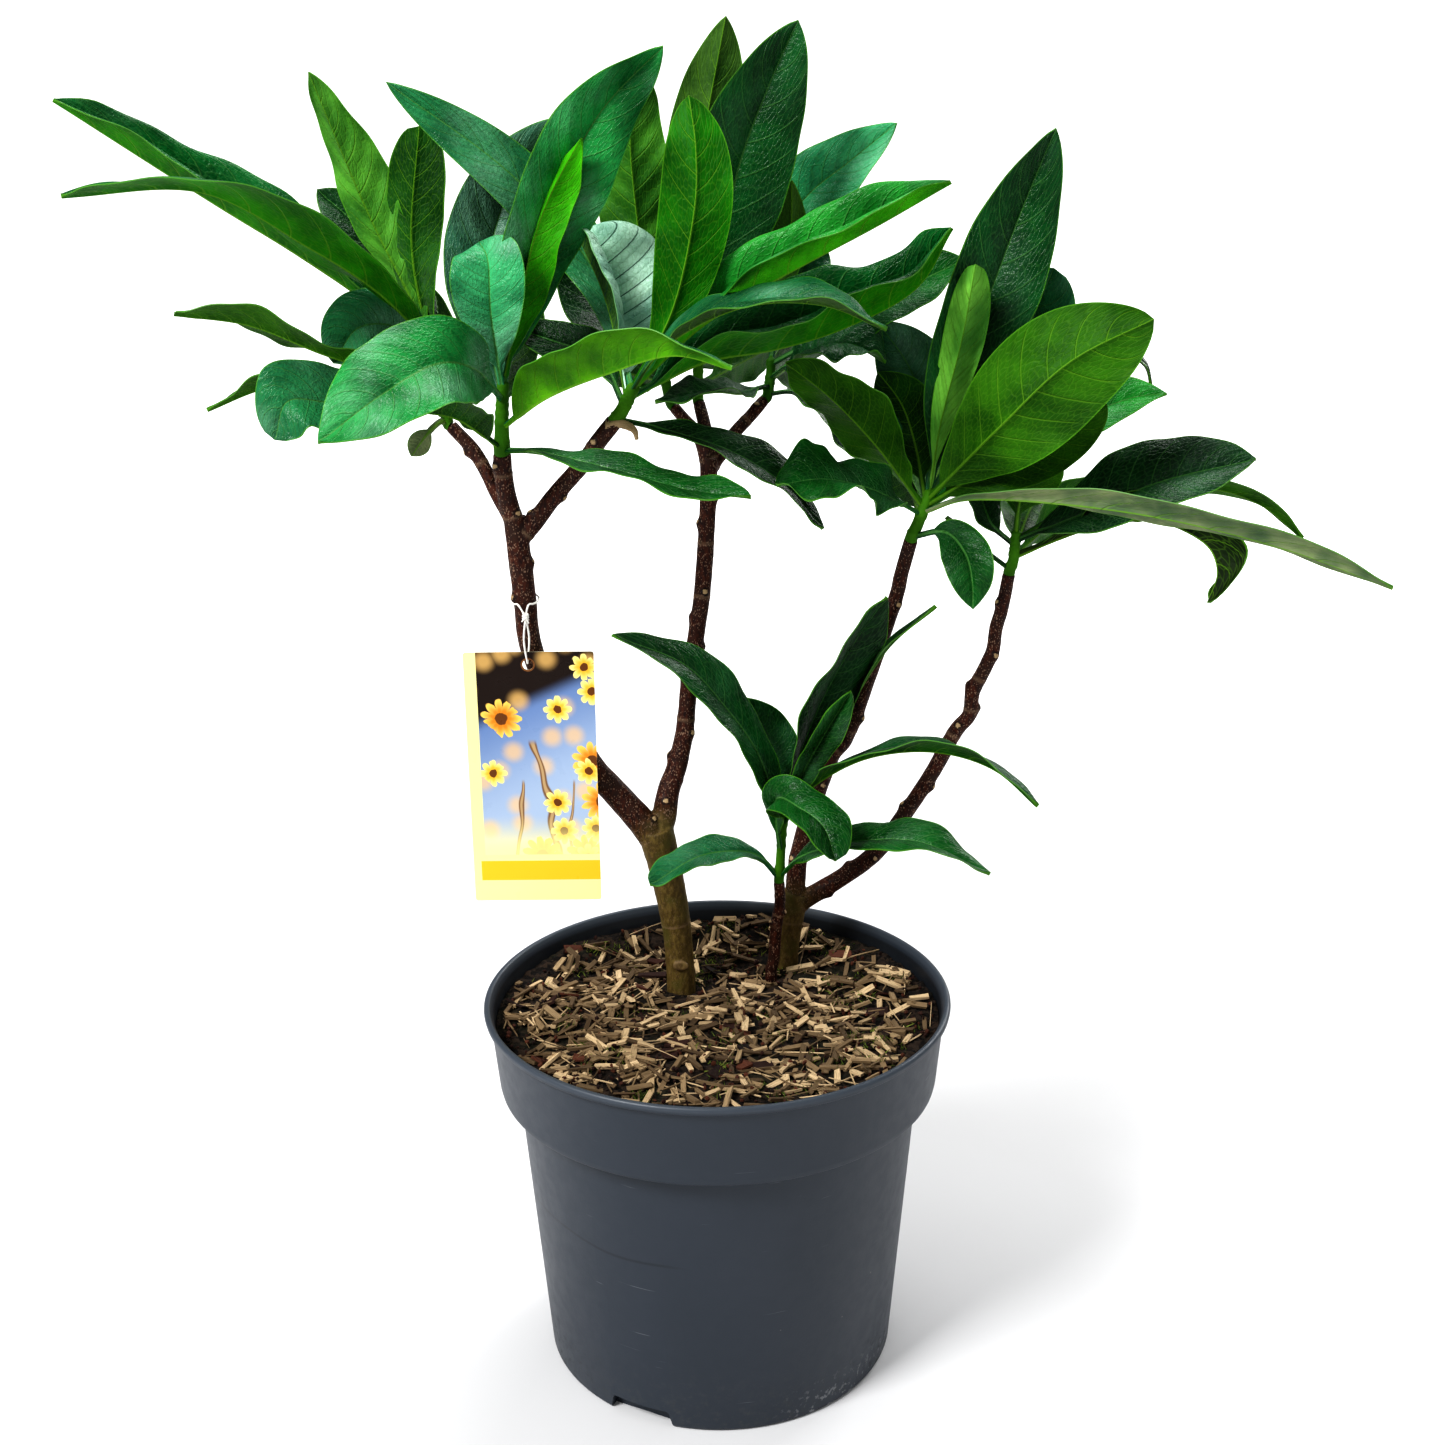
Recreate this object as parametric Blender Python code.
"""A potted paperbush: nursery pot, soil with wood chips, woody stems, leafy shoots and a hanging label.

Units are metres, +Z is up. The origin is the middle of the pot's underside. The viewer stands at -Y.
Places on the plant are named by the pixel where they show in a 1445 by 1445 picture, and by their
depth in millimetres behind the pot's axis. All widths, diameters, lengths and heights are real sizes.
"""

import random
from collections import namedtuple
from math import cos, hypot, pi, radians, sin

import bmesh
import bpy
from mathutils import Vector

MM = 0.001
GAP = 0.3 * MM
SEED = 11

# The pot
RIM_RADIUS = 115.0 * MM
POT_HEIGHT = 190.5 * MM
COLLAR_TOP_RADIUS = 112.0 * MM
COLLAR_FOOT_RADIUS = 108.8 * MM
COLLAR_FOOT_HEIGHT = 146.6 * MM
BODY_TOP_RADIUS = 99.4 * MM
FOOT_RADIUS = 88.0 * MM
POT_WALL = 1.8 * MM
BASE_DISC_RADIUS = 38.0 * MM
CHANNEL_RADII = (41.0 * MM, 77.0 * MM)
CHANNEL_HEIGHT = 6.0 * MM
FOOT_RING_WIDTH = 7.0 * MM
COLLAR_LEDGE = 3.0 * MM
NOTCH_ANGLES = (242.0, 62.0)
NOTCH_WIDTH = 26.0 * MM
NOTCH_HEIGHT = 8.0 * MM
NOTCH_REACH = 14.0 * MM
DRAIN_HOLES = 6
DRAIN_HOLE_RADIUS = 5.0 * MM
POT_SIDES = 28

# The soil and the wood chips that cover it
SOIL_FLOOR = 9.0 * MM
SOIL_LEVEL = 178.5 * MM
SOIL_SLOPE = -0.05
PILE_HEIGHT = 5.0 * MM
PILE_RADIUS = 24.0 * MM
PILE_PLACE = (24.0 * MM, 88.0 * MM)
CHIP_COUNT = 46
CHIP_LENGTH = 42.0 * MM
CHIP_WIDTH = 15.0 * MM
CHIP_THICKNESS = 3.0 * MM
CHIP_SUNK = 1.5 * MM
CHIP_FIELD = 88.0 * MM
STEM_DEPTH = 55.0 * MM

# The woody stems and the green shoots on their ends
RING_DISTANCE = 15.0 * MM
SCAR_SWELLING = 1.08
TRUNK_SIDES = 12
LIMB_SIDES = 8
SHOOT_SIDES = 6
SHOOT_STEPS = 5

# The label and its thread
LABEL_WIDTH = 62.0 * MM
LABEL_HEIGHT = 127.0 * MM
LABEL_THICKNESS = 0.8 * MM
LABEL_HOLE_RADIUS = 2.6 * MM
LABEL_TOP = (528, 652, 11.5)
LABEL_HOLE_DROP = 6.3 * MM
LABEL_HOLE_SHIFT = -0.4 * MM
THREAD_RADIUS = 0.5 * MM
THREAD_SIDES = 5
KNOT_RADIUS = 1.7 * MM
TIE_PLACE = (524.5, 596, 20)
TIED_BRANCH_RADIUS = 5.4 * MM
LOOP_SAG = 3.0 * MM
LOOP_OPENING = 0.35

# The leaves
BLADE_THICKNESS = 0.9 * MM
RIB_THICKNESS = 1.3 * MM
PETIOLE_HALF_WIDTH = 1.4 * MM
PETIOLE_THICKNESS = 1.8 * MM
CALM_HALF_WIDTH = 8.0 * MM
PETIOLE_LENGTH = 11.0 * MM
LEAF_ROWS = 8
SHORT_LEAF = 80.0 * MM
SHORT_LEAF_ROWS = 6
WAVES = 2.3
BASE_TAPER = 0.95

# The viewer who sees the plant in the picture
EYE = Vector((3.9, -810.0, 589.0)) * MM
PITCH = radians(17.7)
ROLL = radians(-0.55)
PICTURE_CENTRE = 722.5
FOCAL_PIXELS = 1800.0


def sight(px, py, depth):
    """The point that shows at a pixel and lies so many millimetres behind the pot's axis."""
    right = px - PICTURE_CENTRE
    down = py - PICTURE_CENTRE
    level_right = (cos(ROLL) * right + sin(ROLL) * down) / FOCAL_PIXELS
    level_up = (sin(ROLL) * right - cos(ROLL) * down) / FOCAL_PIXELS
    ray = Vector((level_right, level_up * sin(PITCH) + cos(PITCH), level_up * cos(PITCH) - sin(PITCH)))
    return EYE + ray * ((depth * MM - EYE.y) / ray.y)


# Each limb is a list of places with the bark's diameter there in millimetres
Limb = namedtuple("Limb", "places diameters")

TRUNK_LEFT = (
    Limb(((681, 978, 30), (677, 930, 30), (668, 880, 29), (655, 828, 28)), (15.0, 13.6, 12.7, 13.2)),
    Limb(((658, 842, 28), (636, 815, 27), (612, 789, 26), (590, 764, 25), (562, 717, 24), (532, 650, 22),
          (525, 600, 20), (520, 560, 19), (515, 517, 18)),
         (12.4, 11.2, 10.6, 10.4, 10.4, 10.6, 10.8, 11.0, 11.0)),
    Limb(((518, 530, 18), (497, 494, 23), (488, 475, 25), (474, 451, 28), (451, 426, 30)),
         (8.0, 6.8, 6.5, 6.5, 6.0)),
    Limb(((515, 525, 18), (509, 505, 16), (504, 480, 12), (502, 454, 9)), (9.5, 9.0, 8.6, 8.2)),
    Limb(((519, 540, 18), (534, 523, 18), (556, 494, 15), (581, 466, 10), (599, 441, 6), (614, 422, 3)),
         (9.0, 8.4, 8.0, 7.8, 7.8, 7.6)),
    Limb(((652, 838, 28), (663, 819, 30), (669, 789, 33), (677, 766, 35), (683, 740, 37), (686, 719, 38),
          (690, 676, 40), (697, 630, 42), (702, 594, 43), (706, 541, 45), (708, 501, 46), (709, 458, 47)),
         (12.0, 10.8, 9.6, 9.0, 8.6, 8.4, 8.2, 8.2, 8.2, 8.0, 8.0, 8.6)),
    Limb(((709, 470, 47), (699, 437, 47), (685, 420, 48), (674, 407, 50)), (7.0, 6.2, 5.8, 5.4)),
    Limb(((709, 468, 47), (706, 433, 52), (699, 403, 60)), (7.0, 6.4, 5.8)),
    Limb(((708, 474, 48), (729, 440, 55), (754, 412, 64), (764, 400, 68)), (7.0, 6.4, 6.0, 5.6)),
)
TRUNK_RIGHT = (
    Limb(((784, 954, 62), (788, 925, 62), (796, 892, 62)), (15.0, 14.4, 13.4)),
    Limb(((795, 905, 62), (796, 878, 62), (800, 851, 62), (813, 805, 61), (831, 756, 59), (846, 736, 57),
          (868, 678, 50), (895, 600, 40), (901, 575, 36), (911, 540, 30)),
         (11.0, 9.8, 9.4, 9.0, 8.6, 8.2, 7.8, 7.4, 7.0, 6.6)),
    Limb(((793, 908, 62), (807, 898, 62), (847, 874, 61), (877, 851, 61), (904, 815, 60), (932, 773, 58),
          (955, 732, 56), (969, 715, 55), (973, 692, 54), (986, 666, 53), (993, 649, 52), (996, 628, 51),
          (1002, 608, 50), (1009, 574, 47)),
         (10.5, 9.6, 9.0, 8.8, 8.4, 8.0, 7.8, 7.8, 7.4, 7.2, 7.0, 6.8, 6.6, 6.2)),
)
STEM_SPROUT = (
    Limb(((771, 969, 42), (774, 957, 42), (776, 928, 42), (780, 902, 41), (779, 882, 40)),
         (6.2, 6.0, 5.7, 5.7, 5.6)),
)

# Each shoot stands on the end of a limb. It has the green stem's further places, and its diameters
Shoot = namedtuple("Shoot", "limb places foot tip")

SHOOTS = {
    "shoot_left_front": Shoot(TRUNK_LEFT[3], ((502, 420, 8), (503, 384, 8)), 7.4, 4.6),
    "shoot_left_outer": Shoot(TRUNK_LEFT[2], ((443, 395, 30), (437, 345, 30)), 5.6, 4.2),
    "shoot_left_inner": Shoot(TRUNK_LEFT[4], ((625, 405, 2), (634, 386, 1)), 6.8, 5.0),
    "shoot_rear_left": Shoot(TRUNK_LEFT[6], ((666, 385, 50), (662, 352, 50)), 5.0, 4.0),
    "shoot_rear_middle": Shoot(TRUNK_LEFT[7], ((698, 378, 64), (700, 345, 66)), 5.4, 4.0),
    "shoot_rear_right": Shoot(TRUNK_LEFT[8], ((770, 382, 71), (771, 360, 72)), 5.2, 4.2),
    "shoot_right_upper": Shoot(TRUNK_RIGHT[1], ((920, 518, 29), (930, 492, 30)), 6.2, 4.4),
    "shoot_right_outer": Shoot(TRUNK_RIGHT[2], ((1014, 556, 47), (1016, 532, 46)), 5.8, 4.2),
    "shoot_sprout": Shoot(STEM_SPROUT[0], ((781, 851, 38), (784, 814, 37)), 5.2, 3.6),
}

# A leaf leaves its shoot at a share of the shoot's length and follows the places of its midrib.
# Width is in millimetres. Turn is how far the upper face turns from the viewer about the midrib, in
# degrees, and twist is how much that grows to the tip. Fold lifts each half blade, in degrees. Wave is
# the height of the edge's waves in millimetres. Blunt is the tip's roundness: 0.9 sharp, 0.4 round.
Leaf = namedtuple("Leaf", "at rib width turn twist fold wave blunt", defaults=(0, 14, 2.0, 0.8))

LEAVES = {
    "shoot_left_front": (
        Leaf(0.92, ((524, 290, 7), (561, 195, 7), (604, 113, 6), (663, 46, 2)), 50, 18),
        Leaf(0.97, ((515, 330, 4), (532, 250, 1), (551, 196, -1), (582, 138, -3)), 24, 152, 0, 30),
        Leaf(0.90, ((491, 316, -3), (488, 262, -2), (480, 243, 8)), 36, -8, 0, 16, 1.5, 0.5),
        Leaf(0.80, ((470, 368, -20), (430, 366, -45), (374, 399, -70), (318, 443, -88)), 46, 30, 0, 8),
        Leaf(0.45, ((545, 397, -16), (604, 370, -40), (672, 350, -60), (732, 366, -74)),
             40, -120, 20, 18, 2.5, 0.5),
        Leaf(0.11, ((545, 453, -8), (616, 470, -24), (686, 489, -38), (751, 497, -48)),
             23, -62, 0, 14, 2.0, 0.6),
        Leaf(0.18, ((475, 428, -8), (450, 415, -24), (408, 410, -44)), 32, 125, 0, 16),
        Leaf(0.70, ((486, 300, 38), (503, 205, 54), (556, 118, 58)), 46, 10),
        Leaf(0.58, ((505, 350, 50), (500, 310, 88), (492, 300, 120)), 40, 160),
    ),
    "shoot_left_outer": (
        Leaf(0.95, ((380, 292, 6), (310, 246, -12), (200, 190, -28), (61, 196, -38)), 52, 128, -50, 12),
        Leaf(0.85, ((376, 298, 38), (303, 243, 43), (232, 198, 44), (165, 158, 40), (53, 99, 32)),
             27, 34, 0, 24),
        Leaf(0.55, ((380, 370, 12), (322, 352, 2), (250, 324, -6), (174, 314, -8)),
             27, 108, 0, 10, 2.0, 0.45),
        Leaf(0.98, ((402, 280, 48), (365, 205, 58), (309, 72, 62)), 32, 152, 0, 30, 2.5),
        Leaf(0.76, ((420, 300, 44), (412, 230, 54), (420, 126, 58)), 30, 156, 0, 8, 1.0, 0.42),
        Leaf(0.66, ((392, 285, 66), (355, 225, 78), (317, 190, 82)), 40, 20),
        Leaf(0.60, ((400, 320, 26), (358, 312, 16), (333, 360, 8)), 46, 18, 0, 18, 2.0, 0.5),
        Leaf(0.35, ((345, 385, 44), (270, 386, 48), (207, 410, 46)), 26, 98),
        Leaf(0.42, ((390, 402, 10), (335, 403, -3), (288, 401, -14), (275, 440, -17)),
             36, 24, 0, 12, 2.0, 0.5),
        Leaf(0.20, ((440, 422, 26), (427, 434, 23), (411, 456, 21)), 11, 170, 0, 10, 1.0),
        Leaf(0.70, ((425, 350, 80), (405, 310, 125), (385, 300, 160)), 40, 150),
        Leaf(0.25, ((448, 385, 75), (450, 382, 115), (446, 390, 150)), 38, -150),
    ),
    "shoot_left_inner": (
        Leaf(0.95, ((667, 310, -10), (690, 215, -14), (695, 150, -12), (689, 96, -4)),
             38, 176, 0, 8, 1.5, 0.6),
        Leaf(0.85, ((685, 330, 4), (745, 282, -6), (800, 249, -12), (870, 215, -18), (951, 182, -22)),
             28, -42, 0, 22, 2.0),
        Leaf(0.75, ((664, 345, -12), (740, 306, -34), (820, 303, -48), (887, 329, -58)), 38, -78, 0, 14),
        Leaf(0.15, ((680, 434, 4), (735, 453, 9), (785, 485, 13), (823, 529, 15)), 28, -60, 0, 14, 1.5),
        Leaf(0.65, ((698, 356, 14), (770, 326, 24), (835, 306, 28), (908, 274, 26), (952, 228, 20)),
             42, -34, 0, 22, 3.0),
        Leaf(0.60, ((611, 332, 20), (591, 278, 44), (575, 220, 54)), 48, 32, 0, 18, 1.5, 0.45),
        Leaf(0.50, ((596, 345, 18), (572, 290, 38), (552, 245, 50)), 32, 20),
        Leaf(0.90, ((600, 280, 26), (514, 177, 32), (386, 82, 36)), 28, 2, 0, 14, 2.5),
    ),
    "shoot_rear_left": (
        Leaf(0.95, ((650, 300, 58), (637, 215, 57), (631, 130, 55), (647, 75, 50)), 38, 172, 0, 12, 2.5),
        Leaf(0.75, ((620, 330, 82), (590, 280, 104), (572, 225, 112)), 40, 14),
        Leaf(0.55, ((630, 372, 84), (592, 352, 120), (562, 347, 150)), 38, 130),
        Leaf(0.45, ((655, 362, 90), (645, 335, 130), (632, 332, 160)), 40, 170),
    ),
    "shoot_rear_middle": (
        Leaf(0.97, ((698, 262, 64), (703, 150, 66), (726, 16, 62)), 38, 172),
        Leaf(0.95, ((712, 290, 52), (738, 170, 46), (768, 88, 44), (798, 20, 42)), 48, 14),
        Leaf(0.88, ((745, 290, 72), (800, 204, 76), (850, 161, 74), (897, 123, 68)), 35, -16),
        Leaf(0.85, ((755, 305, 58), (788, 240, 56), (792, 180, 56)), 20, 178),
        Leaf(0.55, ((706, 345, 105), (712, 310, 150), (715, 300, 185)), 42, 175),
        Leaf(0.40, ((735, 365, 90), (775, 345, 130), (800, 340, 160)), 38, -140),
    ),
    "shoot_rear_right": (
        Leaf(0.90, ((820, 338, 62), (890, 296, 56), (965, 259, 50)), 36, -34),
        Leaf(0.60, ((808, 352, 52), (850, 344, 42), (886, 362, 36)), 38, -62, 0, 14, 4.5),
        Leaf(0.25, ((798, 394, 68), (836, 424, 66), (882, 476, 64)), 30, -58),
        Leaf(0.45, ((742, 392, 50), (712, 391, 33), (655, 402, 28)), 26, 70),
        Leaf(0.98, ((780, 318, 84), (800, 275, 94), (816, 232, 98)), 36, -20),
        Leaf(0.55, ((790, 365, 105), (815, 350, 150), (830, 350, 180)), 38, -150),
    ),
    "shoot_right_upper": (
        Leaf(0.94, ((950, 400, 36), (990, 294, 40), (1022, 210, 40), (1056, 128, 34)), 44, 14),
        Leaf(0.98, ((941, 423, 24), (962, 340, 20), (976, 264, 20)), 28, 176, 0, 46, 1.5, 0.45),
        Leaf(0.90, ((975, 420, 50), (1020, 345, 58), (1054, 268, 58)), 44, 4, 0, 12, 2.0, 0.5),
        Leaf(0.85, ((1000, 427, -6), (1070, 362, -18), (1154, 319, -24)), 50, 178, 0, 8, 2.0, 0.6),
        Leaf(0.72, ((985, 470, 14), (1050, 430, 8), (1117, 388, 4)), 38, 172, 0, 12, 2.0, 0.6),
        Leaf(0.78, ((1020, 425, 60), (1095, 393, 66), (1140, 381, 64), (1167, 393, 58)), 26, -46),
        Leaf(0.88, ((1020, 405, 78), (1100, 352, 88), (1142, 362, 86), (1152, 390, 82)),
             18, -70, 0, 10, 1.0),
        Leaf(0.62, ((971, 496, 12), (1060, 496, -14), (1170, 514, -36), (1290, 548, -48), (1393, 588, -54)),
             26, -112, 0, 10, 1.0),
        Leaf(0.60, ((871, 489, 12), (823, 479, 0), (777, 485, -8)), 42, 60, 0, 12, 5.0, 0.6),
        Leaf(0.70, ((880, 449, 25), (832, 398, 24), (786, 362, 24)), 36, 140, 0, 12, 3.0),
        Leaf(0.93, ((928, 420, 48), (908, 365, 52), (877, 322, 52)), 38, 10),
        Leaf(0.80, ((916, 448, 38), (902, 405, 40), (878, 372, 42)), 30, 176),
        Leaf(0.15, ((945, 532, 20), (965, 553, 12), (972, 580, 8), (973, 609, 8)), 27, 0, 0, 16, 1.5),
        Leaf(0.55, ((905, 470, 80), (890, 440, 120), (885, 440, 150)), 38, 160),
        Leaf(0.50, ((945, 455, 80), (965, 410, 120), (975, 400, 150)), 40, -160),
    ),
    "shoot_right_outer": (
        Leaf(0.80, ((1078, 512, 34), (1160, 474, 20), (1256, 459, 10)), 54, -72, 0, 28, 2.5),
        Leaf(0.85, ((1090, 502, 60), (1199, 487, 62), (1260, 503, 56), (1303, 538, 48)),
             20, -100, 0, 8, 1.0),
        Leaf(0.45, ((1080, 530, 34), (1150, 519, 24), (1203, 540, 14), (1219, 570, 8), (1209, 603, 4)),
             27, -120, 0, 40),
        Leaf(0.97, ((1020, 500, 37), (1029, 465, 27), (1034, 438, 21)), 34, 176),
        Leaf(0.70, ((992, 525, 58), (979, 490, 68), (968, 458, 72)), 20, 30),
        Leaf(0.20, ((978, 545, 48), (946, 517, 45)), 14, 80, 0, 8, 0.5),
        Leaf(0.60, ((1030, 510, 90), (1045, 490, 135), (1050, 490, 165)), 42, 178),
        Leaf(0.50, ((1055, 520, 85), (1100, 505, 115), (1150, 500, 140)), 38, -130),
    ),
    "shoot_sprout": (
        Leaf(0.70, ((771, 790, 32), (756, 750, 29), (727, 709, 22), (684, 664, 10), (612, 635, -2)),
             27, 44),
        Leaf(0.85, ((780, 775, 44), (766, 735, 48), (748, 698, 46)), 28, 10),
        Leaf(0.95, ((796, 765, 34), (820, 705, 29), (853, 645, 24), (887, 597, 20)), 37, 55, 0, 18),
        Leaf(0.97, ((799, 780, 24), (818, 745, 17), (851, 691, 12)), 18, 20, 0, 34, 1.5, 0.6),
        Leaf(0.85, ((806, 790, 28), (862, 758, 18), (930, 750, 4), (992, 767, -8), (1038, 806, -16)),
             27, -85, 0, 16),
        Leaf(0.55, ((776, 800, 20), (800, 808, 4), (824, 827, -6), (836, 861, -15)),
             27, -36, 0, 16, 1.5, 0.42),
        Leaf(0.12, ((760, 858, 34), (738, 851, 26), (697, 857, 14), (650, 885, 0)),
             21, 46, 0, 14, 1.5, 0.5),
        Leaf(0.20, ((800, 858, 31), (822, 849, 22), (868, 840, 8), (925, 843, -5), (990, 874, -14)),
             28, -58),
        Leaf(0.90, ((838, 725, 42), (885, 650, 34), (936, 606, 28)), 16, -76, 0, 10, 1.0),
    ),
}


def clear_scene():
    for old in list(bpy.data.objects):
        bpy.data.objects.remove(old, do_unlink=True)


def plain_material(name, colour, roughness):
    """A Principled material with one colour."""
    material = bpy.data.materials.new(name)
    material.use_nodes = True
    shader = material.node_tree.nodes["Principled BSDF"]
    shader.inputs["Base Color"].default_value = (*colour, 1.0)
    shader.inputs["Roughness"].default_value = roughness
    shader.inputs["Metallic"].default_value = 0.0
    return material


def object_from(bm, name, smooth_angle=35.0):
    """Closes a bmesh into an object with outward faces and smooth shading."""
    bmesh.ops.recalc_face_normals(bm, faces=bm.faces[:])
    mesh = bpy.data.meshes.new(name)
    bm.to_mesh(mesh)
    bm.free()
    mesh.shade_smooth()
    mesh.set_sharp_from_angle(angle=radians(smooth_angle))
    item = bpy.data.objects.new(name, mesh)
    bpy.context.scene.collection.objects.link(item)
    return item


def combine(body, others, operation, solver):
    """Joins other solids to a body, or cuts them from it, and removes them."""
    group = bpy.data.collections.new("operands")
    bpy.context.scene.collection.children.link(group)
    for other in others:
        group.objects.link(other)
    change = body.modifiers.new("combine", "BOOLEAN")
    change.operation = operation
    change.operand_type = "COLLECTION"
    change.collection = group
    change.solver = solver
    bpy.context.view_layer.update()
    finished = body.evaluated_get(bpy.context.evaluated_depsgraph_get())
    mesh = bpy.data.meshes.new_from_object(finished)
    body.modifiers.clear()
    body.data = mesh
    for other in others:
        bpy.data.objects.remove(other, do_unlink=True)
    bpy.data.collections.remove(group)
    return body


def through(points, count):
    """Points at equal steps along a smooth curve through the given points."""
    ends = [points[0] * 2 - points[1]] + list(points) + [points[-1] * 2 - points[-2]]
    fine = []
    for first, a, b, last in zip(ends, ends[1:], ends[2:], ends[3:]):
        for step in range(12):
            t = step / 12
            fine.append(0.5 * (2 * a + (b - first) * t + (2 * first - 5 * a + 4 * b - last) * t * t
                               + (3 * a - first - 3 * b + last) * t ** 3))
    fine.append(points[-1].copy())
    travelled = [0.0]
    for a, b in zip(fine, fine[1:]):
        travelled.append(travelled[-1] + (b - a).length)
    evenly = []
    index = 0
    for step in range(count):
        wanted = travelled[-1] * step / (count - 1)
        while index < len(fine) - 2 and travelled[index + 1] < wanted:
            index += 1
        span = travelled[index + 1] - travelled[index]
        evenly.append(fine[index].lerp(fine[index + 1], (wanted - travelled[index]) / span))
    return evenly


def tube(bm, path, radii, sides):
    """A closed round tube along a path, with its own radius at each point and flat ends."""
    across = Vector((1, 0, 0))
    rings = []
    for index, (point, radius) in enumerate(zip(path, radii)):
        forward = (path[min(index + 1, len(path) - 1)] - path[max(index - 1, 0)]).normalized()
        across = (across - forward * across.dot(forward)).normalized()
        up = forward.cross(across)
        ring = []
        for side in range(sides):
            angle = 2 * pi * side / sides
            ring.append(bm.verts.new(point + (across * cos(angle) + up * sin(angle)) * radius))
        rings.append(ring)
    for low, high in zip(rings, rings[1:]):
        for side in range(sides):
            other = (side + 1) % sides
            bm.faces.new((low[side], low[other], high[other], high[side]))
    bm.faces.new(rings[0])
    bm.faces.new(rings[-1])


def pot_profile():
    """Half of the pot's section, from the middle of its underside, round the rim, to its inner floor."""
    top = POT_HEIGHT
    wall = POT_WALL
    foot = COLLAR_FOOT_HEIGHT
    ledge = COLLAR_LEDGE
    return (
        (0.0, 0.0),
        (BASE_DISC_RADIUS, 0.0),
        (CHANNEL_RADII[0], CHANNEL_HEIGHT),
        (CHANNEL_RADII[1], CHANNEL_HEIGHT),
        (FOOT_RADIUS - FOOT_RING_WIDTH, 0.0),
        (FOOT_RADIUS - 1.2 * MM, 0.0),
        (FOOT_RADIUS, 1.6 * MM),
        (BODY_TOP_RADIUS, foot - ledge),
        (BODY_TOP_RADIUS + 1.6 * MM, foot - 0.6 * MM),
        (COLLAR_FOOT_RADIUS - ledge, foot),
        (COLLAR_FOOT_RADIUS - 0.7 * MM, foot + 1.4 * MM),
        (COLLAR_FOOT_RADIUS, foot + 4.5 * MM),
        (COLLAR_TOP_RADIUS, top - 5.0 * MM),
        (RIM_RADIUS - 0.4 * MM, top - 3.8 * MM),
        (RIM_RADIUS, top - 1.6 * MM),
        (RIM_RADIUS - 1.4 * MM, top),
        (COLLAR_TOP_RADIUS, top - 0.6 * MM),
        (COLLAR_TOP_RADIUS - wall, top - 5.0 * MM),
        (COLLAR_FOOT_RADIUS - wall, foot + 4.5 * MM),
        (BODY_TOP_RADIUS, foot + wall),
        (BODY_TOP_RADIUS - wall, foot - ledge),
        (FOOT_RADIUS - wall, CHANNEL_HEIGHT + wall),
        (0.0, CHANNEL_HEIGHT + wall),
    )


def turned(profile, sides):
    """A solid turned from a half section about the upright axis."""
    bm = bmesh.new()
    line = [bm.verts.new((radius, 0.0, height)) for radius, height in profile]
    for a, b in zip(line, line[1:]):
        bm.edges.new((a, b))
    bmesh.ops.spin(bm, geom=bm.verts[:] + bm.edges[:], cent=(0, 0, 0), axis=(0, 0, 1),
                   angle=2 * pi, steps=sides, use_merge=True)
    bmesh.ops.remove_doubles(bm, verts=bm.verts[:], dist=0.01 * MM)
    return bm


def upright_prism(outline, low, high, name):
    """A closed prism over an outline of (x, y) points."""
    bm = bmesh.new()
    floor = bm.faces.new([bm.verts.new((x, y, low)) for x, y in outline])
    raised = bmesh.ops.extrude_face_region(bm, geom=[floor])
    moved = [item for item in raised["geom"] if isinstance(item, bmesh.types.BMVert)]
    bmesh.ops.translate(bm, verts=moved, vec=(0, 0, high - low))
    return object_from(bm, name)


def make_pot():
    """One moulded pot: foot with notches, tapered body, stepped collar and rolled rim."""
    pot = object_from(turned(pot_profile(), POT_SIDES), "pot")
    cutters = []
    for place in NOTCH_ANGLES:
        outward = Vector((cos(radians(place)), sin(radians(place)), 0.0))
        along = Vector((-outward.y, outward.x, 0.0))
        bm = bmesh.new()
        section = ((-0.5 * NOTCH_WIDTH, -MM), (0.5 * NOTCH_WIDTH, -MM),
                   (0.32 * NOTCH_WIDTH, NOTCH_HEIGHT), (-0.32 * NOTCH_WIDTH, NOTCH_HEIGHT))
        inner = [bm.verts.new(outward * (FOOT_RADIUS - 0.5 * NOTCH_REACH) + along * x + Vector((0, 0, z)))
                 for x, z in section]
        face = bm.faces.new(inner)
        pushed = bmesh.ops.extrude_face_region(bm, geom=[face])
        moved = [item for item in pushed["geom"] if isinstance(item, bmesh.types.BMVert)]
        bmesh.ops.translate(bm, verts=moved, vec=outward * NOTCH_REACH)
        cutters.append(object_from(bm, "notch_cutter"))
    middle = 0.5 * (CHANNEL_RADII[0] + CHANNEL_RADII[1])
    for number in range(DRAIN_HOLES):
        angle = 2 * pi * number / DRAIN_HOLES
        ring = [(middle * cos(angle) + DRAIN_HOLE_RADIUS * cos(turn * pi / 4),
                 middle * sin(angle) + DRAIN_HOLE_RADIUS * sin(turn * pi / 4)) for turn in range(8)]
        cutters.append(upright_prism(ring, CHANNEL_HEIGHT - 2 * MM, SOIL_FLOOR + 2 * MM, "drain_cutter"))
    combine(pot, cutters, "DIFFERENCE", "EXACT")
    pot.data.materials.clear()
    pot.data.materials.append(plain_material("pot_plastic", (0.055, 0.061, 0.072), 0.42))
    return pot


def soil_height(x, y):
    """The soil's surface: higher at the front, with a small pile behind the stems."""
    far = hypot(x - PILE_PLACE[0], y - PILE_PLACE[1]) / PILE_RADIUS
    ripple = 1.2 * MM * sin(x * 70.0 + 1.0) * cos(y * 80.0)
    return SOIL_LEVEL + SOIL_SLOPE * y + PILE_HEIGHT / (1.0 + far ** 4) + ripple


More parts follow.
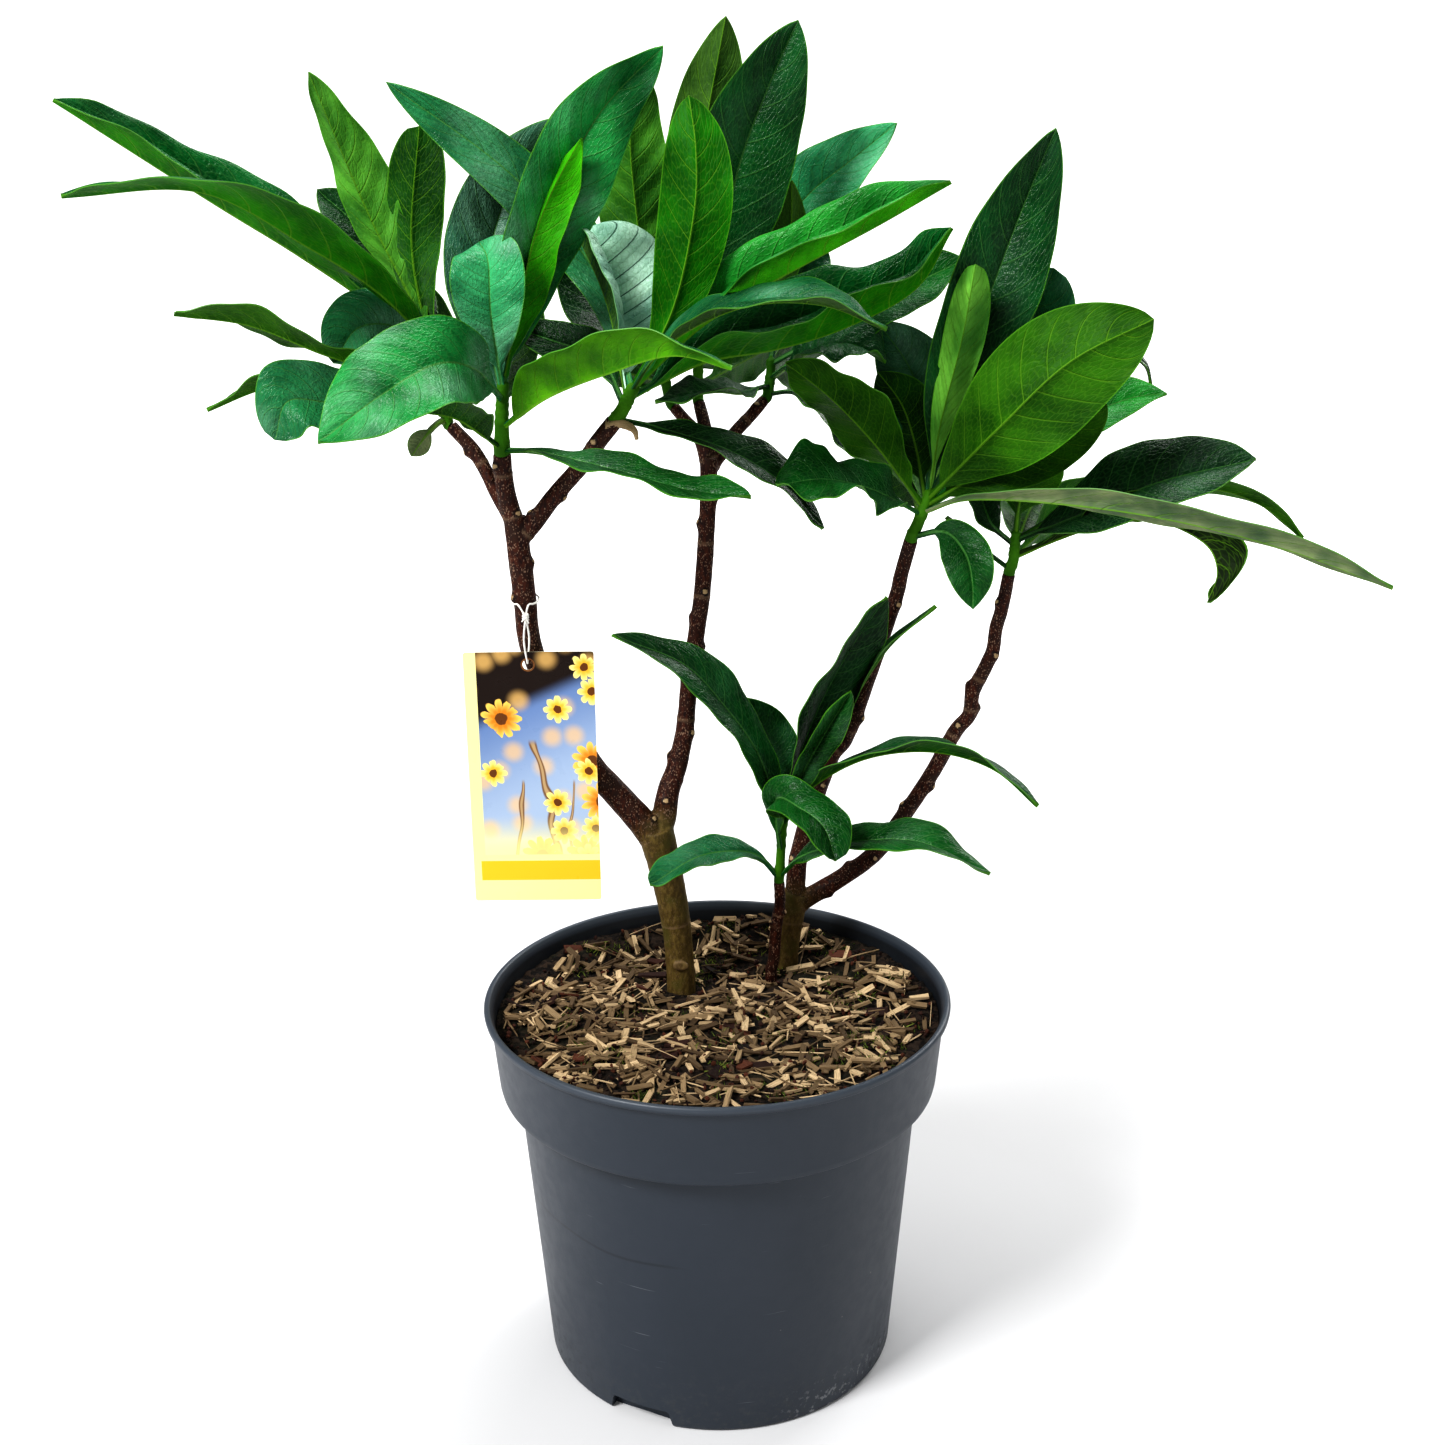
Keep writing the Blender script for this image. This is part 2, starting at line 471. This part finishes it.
def soil_body():
    """The soil that fills the pot, with a wavy top."""
    wall = POT_WALL + GAP * 1.5
    foot = COLLAR_FOOT_HEIGHT
    edge = COLLAR_TOP_RADIUS - wall - 0.6 * MM
    sides = POT_SIDES
    profile = (
        (0.0, SOIL_FLOOR - 0.8 * MM),
        (FOOT_RADIUS - wall, SOIL_FLOOR - 0.8 * MM),
        (BODY_TOP_RADIUS - wall, foot - COLLAR_LEDGE),
        (BODY_TOP_RADIUS - 2 * GAP, foot + wall + GAP),
        (COLLAR_FOOT_RADIUS - wall, foot + 4.5 * MM + GAP),
        (edge, SOIL_LEVEL),
        (edge * 0.66, SOIL_LEVEL),
        (edge * 0.3, SOIL_LEVEL),
        (0.0, SOIL_LEVEL),
    )
    bm = turned(profile, sides)
    for vert in bm.verts:
        if abs(vert.co.z - SOIL_LEVEL) < 0.01 * MM:
            vert.co.z = soil_height(vert.co.x, vert.co.y)
            rise = (vert.co.z - SOIL_LEVEL) / (POT_HEIGHT - SOIL_LEVEL)
            if hypot(vert.co.x, vert.co.y) > edge * 0.95 and rise < 0:
                vert.co.xy = vert.co.xy * (1.0 + 0.006 * rise)
    return object_from(bm, "soil")


def chip(rng):
    """One ridged splinter of wood, sunk in the soil at a random place that keeps clear of the pot."""
    distance = CHIP_FIELD * rng.random() ** 0.5
    around = 2 * pi * rng.random()
    x = distance * cos(around)
    y = distance * sin(around)
    lean = rng.uniform(-0.12, 0.12)
    yaw = rng.uniform(0, pi)
    length = CHIP_LENGTH * rng.uniform(0.65, 1.0)
    width = CHIP_WIDTH * rng.uniform(0.7, 1.1)
    ahead = Vector((cos(yaw), sin(yaw), lean))
    aside = Vector((-sin(yaw), cos(yaw), rng.uniform(-0.2, 0.2)))
    up = ahead.cross(aside).normalized()
    start = Vector((x, y, soil_height(x, y) - CHIP_SUNK)) - ahead * 0.5 * length
    section = (aside * -0.5 * width, aside * 0.5 * width, up * (CHIP_THICKNESS + CHIP_SUNK))
    bm = bmesh.new()
    end = bm.faces.new([bm.verts.new(start + place) for place in section])
    pushed = bmesh.ops.extrude_face_region(bm, geom=[end])
    moved = [item for item in pushed["geom"] if isinstance(item, bmesh.types.BMVert)]
    bmesh.ops.translate(bm, verts=moved, vec=ahead * length)
    return object_from(bm, "chip")


def fill_hollows(body):
    """Keeps a solid's outer skin and removes the small skins of hollows that fusing sealed."""
    bm = bmesh.new()
    bm.from_mesh(body.data)
    left = set(bm.verts)
    skins = []
    while left:
        skin = set()
        edge = [left.pop()]
        while edge:
            vert = edge.pop()
            skin.add(vert)
            near = [link.other_vert(vert) for link in vert.link_edges]
            fresh = [other for other in near if other in left]
            left.difference_update(fresh)
            edge.extend(fresh)
        skins.append(skin)
    skins.sort(key=len)
    for skin in skins[:-1]:
        bmesh.ops.delete(bm, geom=list(skin), context="VERTS")
    bm.to_mesh(body.data)
    bm.free()


def foot_column(limb, extra, sides):
    """The buried part of a stem, or with an extra radius the plain hole that it stands in."""
    top = sight(*limb.places[0])
    radius = limb.diameters[0] * 0.5 * MM + extra
    low = Vector((top.x, top.y, top.z - STEM_DEPTH - extra))
    high = Vector((top.x, top.y, top.z + (20.0 * MM if extra else 2.0 * MM)))
    bm = bmesh.new()
    tube(bm, [low, high], [radius, radius], sides)
    return object_from(bm, "foot")


def make_soil():
    """Soil and its cover of wood chips in one solid, with a plain hole for each stem."""
    rng = random.Random(SEED)
    soil = soil_body()
    combine(soil, [chip(rng) for _ in range(CHIP_COUNT)], "UNION", "MANIFOLD")
    holes = [foot_column(stem[0], GAP * 1.4, TRUNK_SIDES) for stem in (TRUNK_LEFT, TRUNK_RIGHT, STEM_SPROUT)]
    combine(soil, holes, "DIFFERENCE", "MANIFOLD")
    fill_hollows(soil)
    soil.data.materials.clear()
    soil.data.materials.append(plain_material("soil_and_chips", (0.26, 0.19, 0.11), 0.9))
    return soil


def limb_path(limb):
    """Points along a limb, a ring's distance apart."""
    points = [sight(*place) for place in limb.places]
    length = sum((b - a).length for a, b in zip(points, points[1:]))
    return through(points, max(4, round(length / RING_DISTANCE) + 1))


def limb_solid(limb, sides):
    """One tapered limb with a small swelling at each leaf scar."""
    path = limb_path(limb)
    last = len(path) - 1
    steps = len(limb.diameters) - 1
    radii = []
    for index in range(last + 1):
        share = steps * index / last
        low = min(int(share), steps - 1)
        width = limb.diameters[low] + (limb.diameters[low + 1] - limb.diameters[low]) * (share - low)
        swelling = SCAR_SWELLING if index % 2 and index < last else 1.0
        radii.append(width * 0.5 * MM * swelling)
    bm = bmesh.new()
    tube(bm, path, radii, sides)
    return object_from(bm, "limb")


def make_wood(name, limbs, colour):
    """A trunk or stem with its limbs, grown as one piece, and its buried foot."""
    body = limb_solid(limbs[0], TRUNK_SIDES)
    others = [foot_column(limbs[0], 0.0, TRUNK_SIDES)]
    others += [limb_solid(limb, LIMB_SIDES) for limb in limbs[1:]]
    combine(body, others, "UNION", "EXACT")
    body.name = name
    body.data.materials.clear()
    body.data.materials.append(plain_material(name + "_bark", colour, 0.6))
    return body


def half_width(leaf, along, length):
    """Half of the blade's width at a share of the leaf's length: a slim stalk, then the blade."""
    stalk = PETIOLE_LENGTH / length
    if along <= stalk:
        return PETIOLE_HALF_WIDTH
    place = (along - stalk) / (1.0 - stalk)
    base = BASE_TAPER
    widest = base / (base + leaf.blunt)
    peak = widest ** base * (1.0 - widest) ** leaf.blunt
    spread = place ** base * (1.0 - place) ** leaf.blunt / peak
    return max(leaf.width * 0.5 * MM * spread, PETIOLE_HALF_WIDTH * (1.0 - 0.5 * place))


def leaf_solid(leaf, root, number):
    """One leaf from stalk to tip: a thin closed blade, folded along its midrib, with waved edges."""
    points = [root] + [sight(*place) for place in leaf.rib]
    length = sum((b - a).length for a, b in zip(points, points[1:]))
    last = (SHORT_LEAF_ROWS if length < SHORT_LEAF else LEAF_ROWS) - 1
    path = through(points, last + 1)
    bm = bmesh.new()
    upper = []
    lower = []
    for index, point in enumerate(path):
        along = index / last
        forward = (path[min(index + 2, last)] - path[max(index - 2, 0)]).normalized()
        toward = (EYE - point).normalized()
        facing = (toward - forward * toward.dot(forward)).normalized()
        aside = forward.cross(facing)
        turn = radians(leaf.turn + leaf.twist * along)
        normal = facing * cos(turn) + aside * sin(turn)
        side = normal.cross(forward)
        half = half_width(leaf, along, length)
        lift = half * sin(radians(leaf.fold))
        reach = half * cos(radians(leaf.fold))
        calm = min(1.0, half / CALM_HALF_WIDTH)
        top_row = []
        under_row = []
        for edge in (-1, 0, 1):
            wave = leaf.wave * MM * calm * sin(2 * pi * WAVES * along + 1.3 * number + 0.9 * edge)
            thick = BLADE_THICKNESS if edge else RIB_THICKNESS
            if half <= PETIOLE_HALF_WIDTH:
                thick = PETIOLE_THICKNESS
            middle = point + side * reach * edge + normal * (lift + wave) * abs(edge)
            top_row.append(bm.verts.new(middle + normal * thick * 0.5))
            under_row.append(bm.verts.new(middle - normal * thick * 0.5))
        upper.append(top_row)
        lower.append(under_row)
    for rows in (upper, lower):
        for near, far in zip(rows, rows[1:]):
            bm.faces.new((near[0], near[1], far[0]))
            bm.faces.new((near[1], far[1], far[0]))
            bm.faces.new((near[1], near[2], far[2]))
            bm.faces.new((near[1], far[2], far[1]))
    for index in range(last):
        for edge in (0, 2):
            bm.faces.new((upper[index][edge], upper[index + 1][edge], lower[index + 1][edge]))
            bm.faces.new((upper[index][edge], lower[index + 1][edge], lower[index][edge]))
    for index in (0, last):
        bm.faces.new(upper[index] + lower[index][::-1])
    return object_from(bm, "leaf")


def shoot_pieces(name):
    """A shoot's green stem and its leaves, each leaf's root sunk into the stem."""
    shoot = SHOOTS[name]
    wood = limb_path(shoot.limb)
    ahead = (wood[-1] - wood[-2]).normalized()
    foot = wood[-1] + ahead * GAP
    steps = SHOOT_STEPS
    path = [foot] + through([foot + ahead * 2 * MM] + [sight(*place) for place in shoot.places], steps)
    radii = [0.5 * MM * (shoot.foot + (shoot.tip - shoot.foot) * step / steps) for step in range(steps + 1)]
    bud = path[-1] + (path[-1] - path[-2]) * 0.3
    bm = bmesh.new()
    tube(bm, path + [bud], radii + [radii[-1] * 0.5], SHOOT_SIDES)
    stem = object_from(bm, name)
    leaves = []
    for number, leaf in enumerate(LEAVES[name]):
        share = leaf.at * steps
        low = min(int(share), steps - 1)
        leaves.append(leaf_solid(leaf, path[low].lerp(path[low + 1], share - low), number))
    return stem, leaves


def make_shoot(name):
    """A green shoot with its leaves, fused into one solid."""
    stem, leaves = shoot_pieces(name)
    combine(stem, leaves, "UNION", "MANIFOLD")
    fill_hollows(stem)
    stem.data.materials.clear()
    stem.data.materials.append(plain_material(name + "_leaf", (0.03, 0.19, 0.045), 0.4))
    return stem


def make_label():
    """The printed card that hangs from the branch, with its punched hole."""
    top = sight(*LABEL_TOP)
    half = 0.5 * LABEL_THICKNESS
    left = top.x - 0.5 * LABEL_WIDTH
    right = top.x + 0.5 * LABEL_WIDTH
    outline = ((left, top.y - half), (right, top.y - half), (right, top.y + half), (left, top.y + half))
    label = upright_prism(outline, top.z - LABEL_HEIGHT, top.z, "label")
    hole = label_hole()
    bm = bmesh.new()
    tube(bm, [hole - Vector((0, 4 * MM, 0)), hole + Vector((0, 4 * MM, 0))], [LABEL_HOLE_RADIUS] * 2, 12)
    combine(label, [object_from(bm, "hole_cutter")], "DIFFERENCE", "EXACT")
    label.data.materials.clear()
    label.data.materials.append(plain_material("label_card", (0.75, 0.62, 0.3), 0.35))
    return label


def label_hole():
    """The middle of the hole near the label's top edge."""
    return sight(*LABEL_TOP) + Vector((LABEL_HOLE_SHIFT, 0, -LABEL_HOLE_DROP))


def make_thread():
    """The white thread: a loop round the branch, a knot, and a loop down through the label's hole."""
    middle = sight(*TIE_PLACE)
    loop_radius = TIED_BRANCH_RADIUS * SCAR_SWELLING + 1.5 * GAP + THREAD_RADIUS
    knot = middle + Vector((MM, -loop_radius - KNOT_RADIUS, -8.0 * MM))
    loop = []
    for step in range(17):
        angle = -pi / 2 + LOOP_OPENING + 2 * (pi - LOOP_OPENING) * step / 16
        drop = LOOP_SAG * (1 - sin(angle)) * 0.5
        loop.append(middle + Vector((loop_radius * cos(angle), loop_radius * sin(angle), -drop)))
    ring = through([knot, *loop, knot], 18)
    hole = label_hole()
    through_hole = hole + Vector((0, 0, LABEL_HOLE_RADIUS - THREAD_RADIUS - 2 * GAP))
    clear = 0.5 * LABEL_THICKNESS + THREAD_RADIUS + 2.5 * GAP
    front = through_hole + Vector((0, -clear, THREAD_RADIUS))
    back = through_hole + Vector((0, clear, THREAD_RADIUS))
    spread = Vector((2 * THREAD_RADIUS, clear, 0))
    rise_front = knot.lerp(front, 0.5) - spread
    rise_back = knot.lerp(back, 0.5) + spread
    hanging = through([knot, rise_front, front, through_hole, back, rise_back, knot], 20)
    strands = []
    for path in (ring, hanging):
        bm = bmesh.new()
        tube(bm, path, [THREAD_RADIUS] * len(path), THREAD_SIDES)
        strands.append(object_from(bm, "strand"))
    bm = bmesh.new()
    bmesh.ops.create_icosphere(bm, subdivisions=1, radius=KNOT_RADIUS)
    bmesh.ops.translate(bm, verts=bm.verts[:], vec=knot)
    thread = object_from(bm, "label_thread")
    combine(thread, strands, "UNION", "EXACT")
    thread.data.materials.clear()
    thread.data.materials.append(plain_material("thread_white", (0.85, 0.84, 0.8), 0.7))
    return thread


clear_scene()
make_pot()
make_soil()
make_wood("trunk_left", TRUNK_LEFT, (0.085, 0.045, 0.03))
make_wood("trunk_right", TRUNK_RIGHT, (0.085, 0.045, 0.03))
make_wood("stem_sprout", STEM_SPROUT, (0.12, 0.06, 0.03))
for shoot_name in SHOOTS:
    make_shoot(shoot_name)
make_label()
make_thread()
